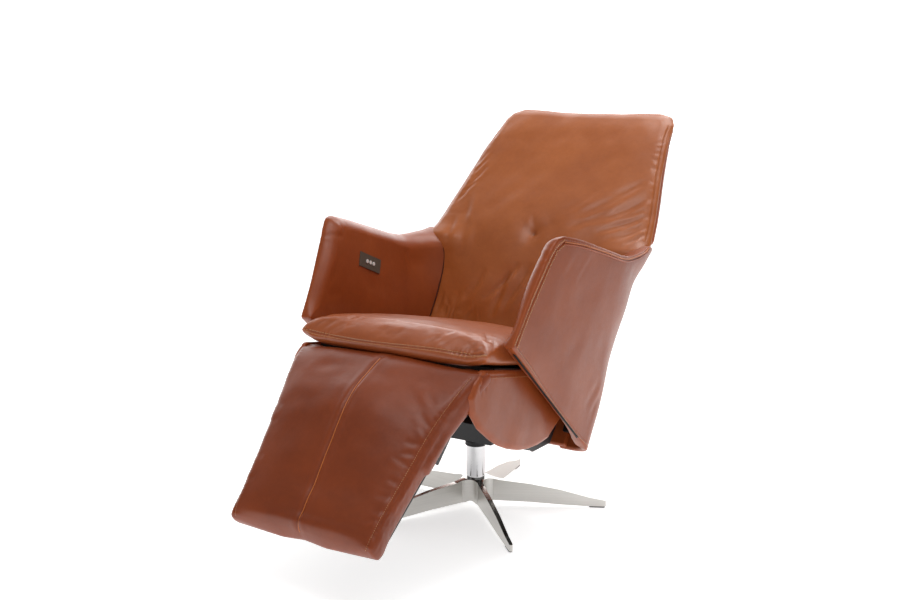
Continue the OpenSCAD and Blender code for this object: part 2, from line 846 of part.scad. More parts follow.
star_base();
glide_pads();
column_tube();
column_bush();
thrust_bearing();
column_collar();
base_bolt();
base_washer();
swivel_spindle();
spindle_clip();
swivel_plate();
plate_bolts();
plate_nuts();
cross_beam();
side_plate_left();
side_plate_right();
front_crossbar();
rear_crossbar();
seat_frame();
seat_springs();
seat_cushion();
side_panel_left();
side_panel_right();
recline_pins();
footrest_pins();
battery_box();
control_box();
recline_motor_pin();
footrest_motor_pin();
back_frame();
hinge_arm_left();
hinge_arm_right();
back_cushion();
rear_cover();
arm_board_left();
arm_board_right();
arm_pad_left();
arm_pad_right();
arm_cover_left();
arm_cover_right();
arm_zip_left();
arm_zip_right();
control_bezel();
switch_module();
recline_rod_pin();
button_1();
button_2();
button_3();
recline_motor();
recline_tube();
recline_rod();
footrest_motor();
footrest_tube();
footrest_rod();
footrest_pad();
footrest_board();
footrest_arm_left();
footrest_arm_right();
footrest_crossbar();
footrest_rod_pin();
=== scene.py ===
"""The looks of a relax armchair: stuffed leather on a swivel base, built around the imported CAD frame.

Blender objects are in metres. Inside the tilted frames of the seat, the back shell and the footrest,
lengths are millimetres: x across the chair, p to the rear and q up that part. In the back shell the
last two are called v and u, and w is the way round the outside of an arm, from its front to the rear.
"""
import math

import bpy
import numpy as np
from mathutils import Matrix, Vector
from mathutils.bvhtree import BVHTree


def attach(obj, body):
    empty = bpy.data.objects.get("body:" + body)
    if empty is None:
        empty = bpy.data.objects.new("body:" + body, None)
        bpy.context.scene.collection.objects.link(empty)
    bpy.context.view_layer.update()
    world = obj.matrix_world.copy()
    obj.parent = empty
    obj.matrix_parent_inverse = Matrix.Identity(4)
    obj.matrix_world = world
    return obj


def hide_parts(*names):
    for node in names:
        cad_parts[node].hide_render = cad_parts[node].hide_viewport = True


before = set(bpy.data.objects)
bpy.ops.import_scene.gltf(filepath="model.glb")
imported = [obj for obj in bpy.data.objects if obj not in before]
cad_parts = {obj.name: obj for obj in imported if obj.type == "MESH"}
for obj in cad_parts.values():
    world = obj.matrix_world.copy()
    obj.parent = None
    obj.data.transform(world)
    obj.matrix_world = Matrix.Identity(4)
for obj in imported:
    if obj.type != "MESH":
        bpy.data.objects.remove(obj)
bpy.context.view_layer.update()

MM = 0.001


# ---- Tilted frames and curves ----

class Place:
    """One tilted frame of the chair, with its origin at (y, z) millimetres and leaning to the rear."""

    def __init__(self, y, z, lean):
        self.y, self.z = y, z
        self.c, self.s = math.cos(math.radians(lean)), math.sin(math.radians(lean))

    def world(self, x, p, q):
        """Points in metres from local millimetres."""
        x, p, q = np.broadcast_arrays(np.asarray(x, float), p, q)
        return np.stack([x, self.y + p * self.c + q * self.s, self.z - p * self.s + q * self.c], -1) * MM

    def turn(self, d):
        """Directions in the local frame from world directions."""
        return d[..., 0], d[..., 1] * self.c - d[..., 2] * self.s, d[..., 1] * self.s + d[..., 2] * self.c

    def local(self, co):
        """Local millimetres from points in metres."""
        return self.turn(np.asarray(co, float) / MM - np.array([0, self.y, self.z]))


SEAT = Place(0, 413, 11.5)
SHELL = Place(123, 368, 31)
REST = Place(-388, 450, 45)
UPRIGHT = Place(0, 0, 0)


def curve(*points):
    """A smooth function through a few (x, y) points with x rising."""
    xs, ys = np.array(points, float).T
    slopes = np.gradient(ys, xs)

    def value(x):
        x = np.clip(x, xs[0], xs[-1])
        i = np.clip(np.searchsorted(xs, x) - 1, 0, len(xs) - 2)
        h = xs[i + 1] - xs[i]
        t = (x - xs[i]) / h
        return ((1 + 2 * t) * (1 - t) ** 2 * ys[i] + t * (1 - t) ** 2 * h * slopes[i]
                + t * t * (3 - 2 * t) * ys[i + 1] + t * t * (t - 1) * h * slopes[i + 1])

    return value


def smoothstep(x, low, high):
    t = np.clip((x - low) / (high - low), 0, 1)
    return t * t * (3 - 2 * t)


def hill(x, width):
    return np.exp(-(x / width) ** 2)


def ripple(a, b, size, seed):
    """Smooth noise of about unit height, with waves about size long."""
    draw = np.random.default_rng(seed)
    total = 0
    for _ in range(9):
        angle, wave, phase = draw.uniform(0, 2 * math.pi), size * draw.uniform(0.7, 1.6), draw.uniform(0, 7)
        total = total + np.sin(2 * math.pi * (a * math.cos(angle) + b * math.sin(angle)) / wave + phase)
    return total / 3


def fold(a, b, start, end, depth, width, bow=0.0, lip=0.55):
    """Height at (a, b) of one crease from start to end: a valley with a raised lip on its left."""
    dx, dy = end[0] - start[0], end[1] - start[1]
    length = math.hypot(dx, dy)
    t = ((a - start[0]) * dx + (b - start[1]) * dy) / length ** 2
    r = (((b - start[1]) * dx - (a - start[0]) * dy) / length - bow * 4 * t * (1 - t)) / width
    fade = np.sin(math.pi * np.clip(t, 0, 1)) ** 0.8
    return fade * depth * (lip * hill(r - 1.5, 1.2) - hill(r, 1))


def along(path, a, b):
    """Distance from each (a, b) to a path of points, and how far along the path its nearest point is."""
    path = np.array(path, float)
    best, run, total = np.full(np.shape(a), 1e9), np.zeros(np.shape(a)), 0.0
    for s, e in zip(path[:-1], path[1:]):
        d = e - s
        length = np.hypot(*d)
        t = np.clip(((a - s[0]) * d[0] + (b - s[1]) * d[1]) / length ** 2, 0, 1)
        gap = np.hypot(a - s[0] - t * d[0], b - s[1] - t * d[1])
        nearer = gap < best
        best, run = np.where(nearer, gap, best), np.where(nearer, total + t * length, run)
        total += length
    return best, run


def sewn(path, a, b, depth, width, pucker, wave, reach, seed):
    """Height at (a, b) of a sewn line: a groove, with the leather gathered into small puckers beside it."""
    gap, run = along(path, a, b)
    shift = ripple(run, gap * 0.2, wave * 3, seed)
    gather = np.sin(2 * math.pi * run / wave + 2.2 * shift) * (0.6 + 0.4 * ripple(run, 0, wave * 5, seed + 1))
    return -depth * hill(gap, width) + pucker * gather * hill(gap - width, reach)


# ---- Meshes ----

def add_mesh(name, points, faces, smooth=True):
    mesh = bpy.data.meshes.new(name)
    mesh.from_pydata([tuple(p) for p in points], [], faces)
    mesh.update()
    mesh.polygons.foreach_set("use_smooth", [smooth] * len(mesh.polygons))
    obj = bpy.data.objects.new(name, mesh)
    bpy.context.scene.collection.objects.link(obj)
    return obj


def rounded(points, blur, step=2.0):
    """A closed outline through the points with its corners rounded, and where each point is in it."""
    dense, marks = [], []
    points = np.array(points, float)
    for a, b in zip(points, np.roll(points, -1, 0)):
        marks.append(len(dense))
        n = max(1, round(float(np.hypot(*(b - a))) / step))
        dense.extend(a + (b - a) * i / n for i in range(n))
    dense, reach = np.array(dense), max(1, round(blur / step))
    weights = np.cos(np.linspace(-1, 1, 2 * reach + 1) * math.pi / 2) ** 2 + 1e-3
    weights /= weights.sum()
    return sum(w * np.roll(dense, k - reach, 0) for k, w in enumerate(weights)), marks


def crowded(count, crowd):
    """count shares from 0 to 1, even where crowd is 0 and close together at both ends where it is 1."""
    t = np.linspace(0, 1, count)
    return (1 - crowd) * t + crowd * (0.5 - 0.5 * np.cos(math.pi * t))


def resampled(line, count, crowd):
    """count points along a line, crowded towards its ends."""
    run = np.concatenate([[0], np.cumsum(np.hypot(*np.diff(line, axis=0).T))])
    t = crowded(count, crowd) * run[-1]
    return np.stack([np.interp(t, run, line[:, k]) for k in (0, 1)], -1)


def patch(outline, marks, corners, counts, crowd):
    """A grid over an outline, whose corners are given anticlockwise from the lower left."""
    n, m = counts
    sides = []
    for k in range(4):
        first, last = marks[corners[k]], marks[corners[(k + 1) % 4]]
        span = (last - first) % len(outline)
        line = outline[(first + np.arange(span + 1)) % len(outline)]
        sides.append(resampled(line, n if k % 2 == 0 else m, crowd))
    low, right, top, left = sides[0], sides[1], sides[2][::-1], sides[3][::-1]
    t_n = crowded(n, crowd)[:, None, None]
    t_m = crowded(m, crowd)[None, :, None]
    ruled = (1 - t_m) * low[:, None] + t_m * top[:, None] + (1 - t_n) * left[None] + t_n * right[None]
    bent = ((1 - t_n) * (1 - t_m) * low[0] + t_n * (1 - t_m) * low[-1]
            + (1 - t_n) * t_m * top[0] + t_n * t_m * top[-1])
    return ruled - bent


def pillow(name, points, corners, counts, outer, inner, rims=(20, 20), seam=0.5, blur=12, crowd=0.7):
    """A stuffed closed form over an outline: two faces that round over into one seam round its edge.

    outer and inner give a face's points in metres at (a, b), rims are how far in from the edge each face
    rounds over (or a function of a and b), and seam is how far from inner to outer the edge lies.
    """
    outline, marks = rounded(points, blur)
    grid = patch(outline, marks, corners, counts, crowd)
    a, b = grid[..., 0], grid[..., 1]
    gap, _ = along(np.vstack([outline[::3], outline[:1]]), a, b)
    edge = np.zeros(gap.shape, bool)
    edge[[0, -1], :] = edge[:, [0, -1]] = True
    gap[edge] = 0
    far, near = outer(a, b), inner(a, b)
    middle = near + (far - near) * seam
    faces_at = []
    for surface, rim in ((far, rims[0]), (near, rims[1])):
        rim = rim(a, b) if callable(rim) else rim
        bulge = np.sqrt(1 - (1 - np.clip(gap / rim, 0, 1)) ** 2)[..., None]
        faces_at.append(middle + (surface - middle) * bulge)
    n, m = counts
    front = np.arange(n * m).reshape(n, m)
    rear = front.copy()
    rear[1:-1, 1:-1] = n * m + np.arange((n - 2) * (m - 2)).reshape(n - 2, m - 2)
    points = np.vstack([faces_at[0].reshape(-1, 3), faces_at[1][1:-1, 1:-1].reshape(-1, 3)])
    quads = []
    for ids, step in ((front, 1), (rear, -1)):
        q = np.stack([ids[:-1, :-1], ids[1:, :-1], ids[1:, 1:], ids[:-1, 1:]], -1).reshape(-1, 4)
        quads.append(q[:, ::step])
    centre = n // 2, m // 2
    across = np.cross(faces_at[0][centre[0] + 1, centre[1]] - faces_at[0][centre],
                      faces_at[0][centre[0], centre[1] + 1] - faces_at[0][centre])
    outward = np.dot(across, (far - near)[centre])
    quads = np.vstack(quads)
    if outward < 0:
        quads = quads[:, ::-1]
    return add_mesh(name, points, quads.tolist())


def coordinates(obj, what="co"):
    values = np.empty(len(obj.data.vertices) * 3, np.float32)
    obj.data.vertices.foreach_get(what, values)
    return values.reshape(-1, 3).astype(float)


def carve(obj, place, height):
    """Moves each point along its normal by height(x, p, q, normal) millimetres."""
    co, normal = coordinates(obj), coordinates(obj, "normal")
    x, p, q = place.local(co)
    co += normal * (height(x, p, q, place.turn(normal)) * MM)[:, None]
    obj.data.vertices.foreach_set("co", co.astype(np.float32).ravel())
    obj.data.update()


def refine(obj):
    """Subdivides a mesh once."""
    modifier = obj.modifiers.new("Subdivision", "SUBSURF")
    modifier.levels = modifier.render_levels = 1


def apply_modifiers(obj):
    mesh = bpy.data.meshes.new_from_object(obj.evaluated_get(bpy.context.evaluated_depsgraph_get()))
    obj.modifiers.clear()
    obj.data = mesh
    mesh.polygons.foreach_set("use_smooth", [True] * len(mesh.polygons))


def stuff(obj, voxel, pressure, cap, held):
    """Swells a closed form as stuffing swells a cushion; no point moves more than cap millimetres.

    The form is first remeshed with cells voxel millimetres wide. held(co) gives how firmly each point is
    pinned, from 0 to 1.
    """
    frames = 20
    remesh = obj.modifiers.new("Remesh", "REMESH")
    remesh.mode, remesh.voxel_size, remesh.use_smooth_shade = "VOXEL", voxel * MM, True
    apply_modifiers(obj)
    start = coordinates(obj)
    scene = bpy.context.scene
    cloth = obj.modifiers.new("Cloth", "CLOTH")
    settings = cloth.settings
    settings.quality = 5
    settings.mass = 0.4
    settings.tension_stiffness = settings.compression_stiffness = 18
    settings.shear_stiffness = 8
    settings.bending_stiffness = 1.5
    settings.use_pressure = True
    settings.uniform_pressure_force = pressure
    settings.effector_weights.gravity = 0
    cloth.collision_settings.use_collision = False
    cloth.point_cache.frame_start, cloth.point_cache.frame_end = 1, frames
    group = obj.vertex_groups.new(name="held")
    weight = np.clip(held(start), 0, 1)
    for level in (0.25, 0.5, 0.75, 1.0):
        chosen = np.nonzero((weight > level - 0.25) & (weight <= level))[0]
        group.add(chosen.tolist(), level, "REPLACE")
    settings.vertex_group_mass = group.name
    for number in range(1, frames + 1):
        scene.frame_set(number)
    apply_modifiers(obj)
    scene.frame_set(1)
    obj.vertex_groups.clear()
    moved = coordinates(obj) - start
    length = np.linalg.norm(moved, axis=1, keepdims=True)
    moved *= np.minimum(1, cap * MM / np.maximum(length, 1e-9))
    obj.data.vertices.foreach_set("co", (start + moved).astype(np.float32).ravel())
    obj.data.update()


def soften(obj, times):
    modifier = obj.modifiers.new("Smooth", "SMOOTH")
    modifier.iterations, modifier.factor = times, 0.5
    apply_modifiers(obj)


def surface_of(obj):
    return BVHTree.FromObject(obj, bpy.context.evaluated_depsgraph_get())


def laid_on(tree, points, lift=0.0):
    """Each point moved to the nearest place on a surface, and the surface's normal there."""
    found = [tree.find_nearest(Vector(p)) for p in points]
    normal = np.array([f[1] for f in found])
    return np.array([f[0] for f in found]) + normal * lift * MM, normal


def even_steps(points, step):
    """A path in metres with points about step millimetres apart."""
    points = np.asarray(points, float)
    run = np.concatenate([[0], np.cumsum(np.linalg.norm(np.diff(points, axis=0), axis=1))])
    t = np.linspace(0, run[-1], max(2, round(run[-1] / (step * MM)) + 1))
    return np.stack([np.interp(t, run, points[:, k]) for k in range(3)], -1)


def directions(points):
    """The unit direction of a path at each of its points."""
    forward = np.gradient(points, axis=0)
    return forward / np.linalg.norm(forward, axis=1, keepdims=True)


def tube_parts(points, radius, sides, up, flat=1.0):
    """Points and faces of a round tube along a path, or one flattened along up where flat is under 1."""
    forward = directions(points)
    side = np.cross(up, forward)
    side /= np.linalg.norm(side, axis=1, keepdims=True)
    up = np.cross(forward, side)
    angle = np.linspace(0, 2 * math.pi, sides, endpoint=False)
    ring = np.cos(angle)[None, :, None] * side[:, None] + flat * np.sin(angle)[None, :, None] * up[:, None]
    size = np.broadcast_to(np.asarray(radius, float), (len(points),))[:, None, None] * MM
    verts = (points[:, None] + size * ring).reshape(-1, 3)
    faces = []
    for i in range(len(points) - 1):
        for j in range(sides):
            k = (j + 1) % sides
            faces.append((i * sides + j, i * sides + k, (i + 1) * sides + k, (i + 1) * sides + j))
    faces.append(tuple(range(sides))[::-1])
    faces.append(tuple((len(points) - 1) * sides + j for j in range(sides)))
    return verts, faces


def joined(parts):
    """Several (points, faces) as one."""
    verts, faces, base = [], [], 0
    for v, f in parts:
        verts.append(v)
        faces.extend(tuple(i + base for i in face) for face in f)
        base += len(v)
    return np.vstack(verts), faces


def welt(name, tree, path, radius, lift):
    """A sewn cord of leather along a path on a surface, straightened a little between its ends."""
    points, normal = laid_on(tree, even_steps(path, 4), lift)
    for _ in range(6):
        points[1:-1] = (points[:-2] + 2 * points[1:-1] + points[2:]) / 4
    return add_mesh(name, *tube_parts(points, radius, 10, normal))


def stitches(tree, path, offset=0.0, pitch=5.0, length=3.6, radius=0.5, lift=0.15):
    """Points and faces of a row of stitches beside a path on a surface."""
    points, normal = laid_on(tree, even_steps(path, pitch))
    forward = directions(points)
    side = np.cross(normal, forward)
    points, normal = laid_on(tree, points + side * offset * MM, lift)
    reach = np.linspace(-0.5, 0.5, 5)
    sink = 1.1 * radius * (2 * reach) ** 2
    thickness = radius * np.array([0.55, 0.95, 1, 0.95, 0.55])
    parts = []
    for centre, up, ahead in zip(points, normal, forward):
        spine = centre + np.outer(reach * length * MM, ahead) - np.outer(sink * MM, up)
        parts.append(tube_parts(spine, thickness, 6, np.tile(up, (len(reach), 1))))
    return parts


def smooth_path(place, *points, steps=24):
    """A smooth path in metres through local points."""
    points = np.array(points, float)
    t = np.linspace(0, len(points) - 1, steps * (len(points) - 1) + 1)
    index = np.arange(len(points))
    x, p, q = (curve(*zip(index, points[:, k]))(t) for k in range(3))
    return place.world(x, p, q)


# ---- Materials ----

class Shader:
    """A material's nodes, built one at a time."""

    def __init__(self, name, **values):
        self.material = bpy.data.materials.new(name)
        self.material.use_nodes = True
        self.tree = self.material.node_tree
        self.surface = self.tree.nodes["Principled BSDF"]
        for socket, value in values.items():
            self.surface.inputs[socket.replace("_", " ")].default_value = value
        self.where = self.add("ShaderNodeTexCoord").outputs["Object"]

    def add(self, kind, inputs=None, **settings):
        node = self.tree.nodes.new(kind)
        for key, value in settings.items():
            setattr(node, key, value)
        for key, value in (inputs or {}).items():
            if isinstance(value, bpy.types.NodeSocket):
                self.tree.links.new(value, node.inputs[key])
            else:
                node.inputs[key].default_value = value
        return node

    def into(self, socket, value):
        self.tree.links.new(value, self.surface.inputs[socket])

    def noise(self, scale, detail=3.0, rough=0.5, where=None):
        inputs = {"Vector": where or self.where, "Scale": scale, "Detail": detail, "Roughness": rough}
        return self.add("ShaderNodeTexNoise", inputs).outputs["Fac"]

    def stretched(self, x, y, z):
        return self.add("ShaderNodeMapping", {"Vector": self.where, "Scale": (x, y, z)}).outputs["Vector"]

    def ramp(self, value, *stops):
        node = self.add("ShaderNodeValToRGB", {"Fac": value})
        for index, (at, colour) in enumerate(stops):
            stop = node.color_ramp.elements[index] if index < 2 else node.color_ramp.elements.new(at)
            stop.position, stop.color = at, (*colour, 1)
        return node.outputs["Color"]

    def span(self, value, low, high, from_low=0.0, from_high=1.0):
        inputs = {"Value": value, "From Min": from_low, "From Max": from_high, "To Min": low, "To Max": high}
        return self.add("ShaderNodeMapRange", inputs).outputs["Result"]

    def times(self, colour, other):
        node = self.add("ShaderNodeMix", data_type="RGBA", blend_type="MULTIPLY")
        node.inputs["Factor"].default_value = 1
        self.tree.links.new(colour, node.inputs["A"])
        self.tree.links.new(other, node.inputs["B"])
        return node.outputs["Result"]

    def bump(self, height, strength, distance, base=None):
        inputs = {"Height": height, "Strength": strength, "Distance": distance}
        if base is not None:
            inputs["Normal"] = base
        return self.add("ShaderNodeBump", inputs).outputs["Normal"]


def leather(name, light, dark, rough=0.42, gloss=0.5):
    """Leather with an uneven dye and fine pores, its ridges a little paler from wear and its creases darkened
    with painted shade.
    """
    s = Shader(name, IOR=1.5, Specular_IOR_Level=gloss)
    dye = s.ramp(s.noise(7, 5, 0.6), (0.3, dark), (0.7, light))
    mottle = s.span(s.noise(90, 6, 0.65), 0.88, 1.1)
    # painted shade and wear: by the mesh's pointiness the colour darkens in creases and pales on ridges
    wear_and_crease_shade = s.span(s.add("ShaderNodeNewGeometry").outputs["Pointiness"], 0.7, 1.28, 0.45, 0.55)
    s.into("Base Color", s.times(s.times(dye, mottle), wear_and_crease_shade))
    s.into("Roughness", s.span(s.noise(60, 5, 0.6), rough - 0.07, rough + 0.08))
    pores = s.add("ShaderNodeTexVoronoi", {"Vector": s.where, "Scale": 700.0}, feature="F1")
    grain = s.bump(pores.outputs["Distance"], 0.2, 0.0004)
    creased = s.bump(s.noise(160, 7, 0.7), 0.14, 0.0012, grain)
    s.into("Normal", s.bump(s.noise(26, 3, 0.5), 0.10, 0.006, creased))
    return s.material


def brushed_metal(name, colour, rough, streaks=(6, 6, 300), polish_top=None, **values):
    """Metal with fine brush lines; a polished top face where polish_top gives its roughness."""
    s = Shader(name, **{"Metallic": 1.0, **values})
    lines = s.noise(1.0, 5, 0.6, s.stretched(*streaks))
    shade = s.ramp(lines, (0.3, [c * 0.88 for c in colour]), (0.7, colour))
    s.into("Base Color", shade)
    spread = s.span(lines, rough - 0.06, rough + 0.08)
    if polish_top is not None:
        up = s.add("ShaderNodeSeparateXYZ", {"Vector": s.add("ShaderNodeNewGeometry").outputs["Normal"]})
        top = s.span(up.outputs["Z"], 0, 1, 0.75, 0.93)
        mix = s.add("ShaderNodeMix", data_type="FLOAT")
        s.tree.links.new(top, mix.inputs["Factor"])
        s.tree.links.new(spread, mix.inputs["A"])
        mix.inputs["B"].default_value = polish_top
        spread = mix.outputs["Result"]
    s.into("Roughness", spread)
    s.into("Normal", s.bump(lines, 0.05, 0.0005))
    return s.material


def chrome(name):
    s = Shader(name, Metallic=1.0)
    haze = s.noise(14, 3)
    s.into("Base Color", s.ramp(haze, (0.3, (0.54, 0.54, 0.55)), (0.7, (0.66, 0.66, 0.66))))
    s.into("Roughness", s.span(s.noise(60, 3), 0.05, 0.11))
    return s.material


def coated(name, colour, rough):
    """Powder coat, stain or moulded plastic: a fine even texture."""
    s = Shader(name)
    tone = s.noise(30, 4)
    s.into("Base Color", s.ramp(tone, (0.3, [c * 0.8 for c in colour]), (0.7, [c * 1.25 for c in colour])))
    s.into("Roughness", s.span(s.noise(120, 4), rough - 0.07, rough + 0.07))
    s.into("Normal", s.bump(s.noise(900, 2), 0.12, 0.0004))
    return s.material


def plywood(name):
    s = Shader(name)
    grain = s.noise(1.0, 5, 0.6, s.stretched(60, 4, 60))
    s.into("Base Color", s.ramp(grain, (0.3, (0.48, 0.32, 0.17)), (0.7, (0.72, 0.54, 0.33))))
    s.into("Roughness", s.span(grain, 0.5, 0.68))
    s.into("Normal", s.bump(grain, 0.1, 0.001))
    return s.material


def thread(name, colour):
    s = Shader(name, Sheen_Weight=0.3)
    twist = s.noise(1500, 2)
    s.into("Base Color", s.ramp(twist, (0.3, [c * 0.75 for c in colour]), (0.7, colour)))
    s.into("Roughness", s.span(twist, 0.5, 0.7))
    return s.material


def paint(material, *nodes):
    for name in nodes:
        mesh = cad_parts[name].data
        if not mesh.materials:
            mesh.materials.append(material)
        for index in range(len(mesh.materials)):
            mesh.materials[index] = material


def finish_piece(obj, body, material, replaces=()):
    """Gives a piece its material and says what it rides and which nodes it replaces."""
    obj.data.materials.clear()
    obj.data.materials.append(material)
    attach(obj, body)
    if replaces:
        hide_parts(*replaces)


HIDE = leather("hide", (0.43, 0.118, 0.026), (0.35, 0.088, 0.017), 0.36, 0.55)
# painted shade: a darker, redder copy of the back's hide, for the arms, the side panels and the rear cover
HIDE_SIDE_PAINTED_SHADE = leather("hide_side", (0.315, 0.066, 0.014), (0.25, 0.048, 0.010), 0.34, 0.42)
# painted shade: a still darker copy of the back's hide, for the footrest
HIDE_REST_PAINTED_SHADE = leather("hide_rest", (0.255, 0.048, 0.011), (0.19, 0.034, 0.008), 0.36, 0.4)
# painted shade: a darker copy of the back's hide, for the seat cushion
HIDE_SEAT_PAINTED_SHADE = leather("hide_seat", (0.37, 0.088, 0.021), (0.29, 0.064, 0.014), 0.36, 0.7)
# painted shadow: near-black leather for the cord that stands in for the shade in the groove where an arm
# meets the back
PAINTED_SEAM_SHADOW = leather("seam_shadow", (0.055, 0.013, 0.006), (0.035, 0.008, 0.004), 0.6, 0.2)
THREAD = thread("thread", (0.66, 0.34, 0.15))
BLACK_METAL = coated("black_metal", (0.008, 0.008, 0.009), 0.42)
BLACK_PLASTIC = coated("black_plastic", (0.006, 0.006, 0.007), 0.55)
SATIN = brushed_metal("satin_steel", (0.62, 0.605, 0.575), 0.36, (5, 5, 260), polish_top=0.16)
BRIGHT = brushed_metal("zinc_steel", (0.72, 0.72, 0.71), 0.22, (90, 90, 90))
CHROME = chrome("chrome")
SILVER = brushed_metal("silver_button", (0.85, 0.85, 0.84), 0.3, (90, 90, 90), Metallic=0.25)
PEWTER = brushed_metal("pewter", (0.13, 0.125, 0.105), 0.34, (4, 220, 220), Metallic=0.45)
WOOD = plywood("birch_ply")
STAINED = coated("stained_ply", (0.02, 0.017, 0.015), 0.6)


# ---- The base and the mechanism: CAD nodes that stay as they are ----

paint(SATIN, "star_base")
paint(CHROME, "column_tube", "recline_rod", "footrest_rod")
paint(BRIGHT, "base_bolt", "base_washer", "plate_bolts", "plate_nuts", "thrust_bearing", "swivel_spindle",
      "spindle_clip", "seat_springs", "recline_pins", "footrest_pins", "recline_motor_pin",
      "footrest_motor_pin", "recline_rod_pin", "footrest_rod_pin", "recline_tube", "footrest_tube")
paint(BLACK_METAL, "swivel_plate", "cross_beam", "side_plate_left", "side_plate_right", "front_crossbar",
      "rear_crossbar", "back_frame", "hinge_arm_left", "hinge_arm_right", "footrest_arm_left",
      "footrest_arm_right", "footrest_crossbar")
paint(BLACK_PLASTIC, "glide_pads", "column_bush", "column_collar", "battery_box", "control_box",
      "recline_motor", "footrest_motor", "switch_module")
paint(WOOD, "arm_board_left", "arm_board_right")
paint(STAINED, "seat_frame", "footrest_board")
paint(PEWTER, "control_bezel")
paint(SILVER, "button_1", "button_2", "button_3")


# ---- Seat cushion ----

CUSHION_W = 270
CUSHION_FRONT = -404
CUSHION_CROWN = curve((-406, 58), (-386, 66), (-330, 72), (-200, 76), (-95, 77), (60, 72), (128, 64))


def cushion_ear(x, p, size):
    """How far a point is from the nearer front corner, as a share of size."""
    return np.hypot((np.abs(x) - CUSHION_W) / size, (p + 400) / size)


def cushion_top(x, p):
    """Height of the upper face, which falls away to the sides and at the front corners."""
    ear = cushion_ear(x, p, 62)
    return CUSHION_CROWN(p) - 14 * np.abs(x / CUSHION_W) ** 2.6 - 7 * hill(ear, 1)


def cushion_base(x, p):
    """Height of the lower face, which hangs at the front edge and lifts at the front corners."""
    ear = cushion_ear(x, p, 55)
    return 1 - 9 * smoothstep(-p, 345, 385) * smoothstep(CUSHION_W - np.abs(x), 0, 60) + 7 * hill(ear, 1)


def make_seat_cushion():
    w = CUSHION_W
    outline = [(-w - 1, -396), (-130, CUSHION_FRONT), (0, -406), (130, CUSHION_FRONT), (w + 1, -396),
               (w - 5, -150), (w - 2, 120), (0, 128), (-w + 2, 120), (-w + 5, -150)]
    cushion = pillow("seat_cushion_leather", outline, (0, 4, 6, 8), (150, 150),
                     lambda x, p: SEAT.world(x, p, cushion_top(x, p)),
                     lambda x, p: SEAT.world(x, p, cushion_base(x, p)), rims=(46, 30), seam=0.36, blur=12)
    stuff(cushion, 5, 2.0, 4, held=lambda co: smoothstep(-SEAT.local(co)[2], -14, -4))
    soften(cushion, 2)
    refine(cushion)
    apply_modifiers(cushion)
    front = [(-264, 29), (-235, 21), (-100, 17), (0, 19), (120, 24), (220, 23), (264, 31)]
    rolls = [((-214, 24), (-176, 58), 1.5, 7), ((-186, 26), (-140, 60), 1.2, 7),
             ((-232, 30), (-212, 56), 1.2, 5), ((-52, 26), (-12, 62), 1.3, 8), ((-14, 24), (34, 60), 1.4, 8),
             ((88, 24), (142, 62), 1.4, 8), ((130, 26), (168, 52), 0.9, 6), ((186, 24), (232, 48), 1.1, 6),
             ((222, 26), (254, 46), 1.4, 5), ((236, 24), (262, 36), 1.4, 4)]
    creases = [((-255, -330), (-205, -372), 1.6, 8), ((-262, -300), (-190, -330), 1.2, 10),
               ((-90, -388), (-20, -345), 1.2, 11), ((60, -390), (150, -350), 1.2, 11),
               ((190, -380), (258, -330), 1.5, 9), ((200, -350), (262, -290), 1.1, 9)]

    def height(x, p, q, normal):
        ahead = smoothstep(-normal[1], 0.15, 0.6) * (p < -330)
        top = smoothstep(normal[2], 0.3, 0.8)
        line = sewn(front, x, q, 1.6, 2.2, 0.5, 11, 7, 3) * ahead
        soft = ripple(x, p * 1.3, 150, 5) * 0.9 * top + ripple(x, p, 60, 6) * 0.28 * (top + ahead)
        rolled = sum(fold(x, q, *f) for f in rolls)
        creased = sum(fold(x, p, *f) for f in creases)
        return line + soft + 0.8 * rolled * ahead + 0.6 * creased * top

    carve(cushion, SEAT, height)
    tree = surface_of(cushion)
    rows = []
    for q in (3.2, -3.2):
        path = smooth_path(SEAT, *[(x, CUSHION_FRONT + 9 * abs(x / w) ** 3, seam_q + q)
                                   for x, seam_q in front])
        rows += stitches(tree, path, pitch=4.6, length=3.3, radius=0.65, lift=0.4)
    finish_piece(add_mesh("seat_cushion_stitching", *joined(rows)), "seat_unit", THREAD)
    finish_piece(cushion, "seat_unit", HIDE_SEAT_PAINTED_SHADE, ["seat_cushion"])


# ---- Side panels under the seat ----

PANEL_OUT, PANEL_IN = 263, 248


def make_side_panel(side, sign):
    low = [(-397, 350), (-347, 312), (-311, 289), (-265, 268), (-217, 252), (-170, 243), (-122, 241),
           (-76, 245)]
    outline = [(-436, 430), (-430, 392), *low, (-10, 290), (45, 350), (85, 390), (-384, 484), (-416, 460)]
    panel = pillow(f"side_panel_{side}_leather", outline, (2, 9, 12, 13), (110, 60),
                   lambda y, z: UPRIGHT.world(sign * PANEL_OUT, y, z),
                   lambda y, z: UPRIGHT.world(sign * PANEL_IN, y, z), rims=(14, 6), seam=0.2, blur=8)
    strip = [(-392, 473), (-200, 436), (60, 385)]

    def height(x, y, z, normal):
        out = smoothstep(normal[0] * sign, 0.2, 0.7)
        swell = 3 * smoothstep(along([(-436, 430), *low], y, z)[0], 5, 60)
        line = sewn(strip, y, z, 1.3, 2.4, 0.5, 13, 9, 31)
        soft = ripple(y, z, 120, 32) * 0.9
        tuck = fold(y, z, (-392, 476), (-378, 434), 2.0, 4) + fold(y, z, (-404, 462), (-394, 424), 1.4, 4)
        return (swell + line + soft + tuck) * out

    carve(panel, UPRIGHT, height)
    tree = surface_of(panel)
    path = smooth_path(UPRIGHT, *[(sign * (PANEL_OUT + 3), y, z - 5) for y, z in strip])
    rows = add_mesh(f"side_panel_{side}_stitching", *joined(stitches(tree, path, pitch=5, radius=0.42)))
    finish_piece(rows, "seat_unit", THREAD)
    finish_piece(panel, "seat_unit", HIDE_SIDE_PAINTED_SHADE, [f"side_panel_{side}"])


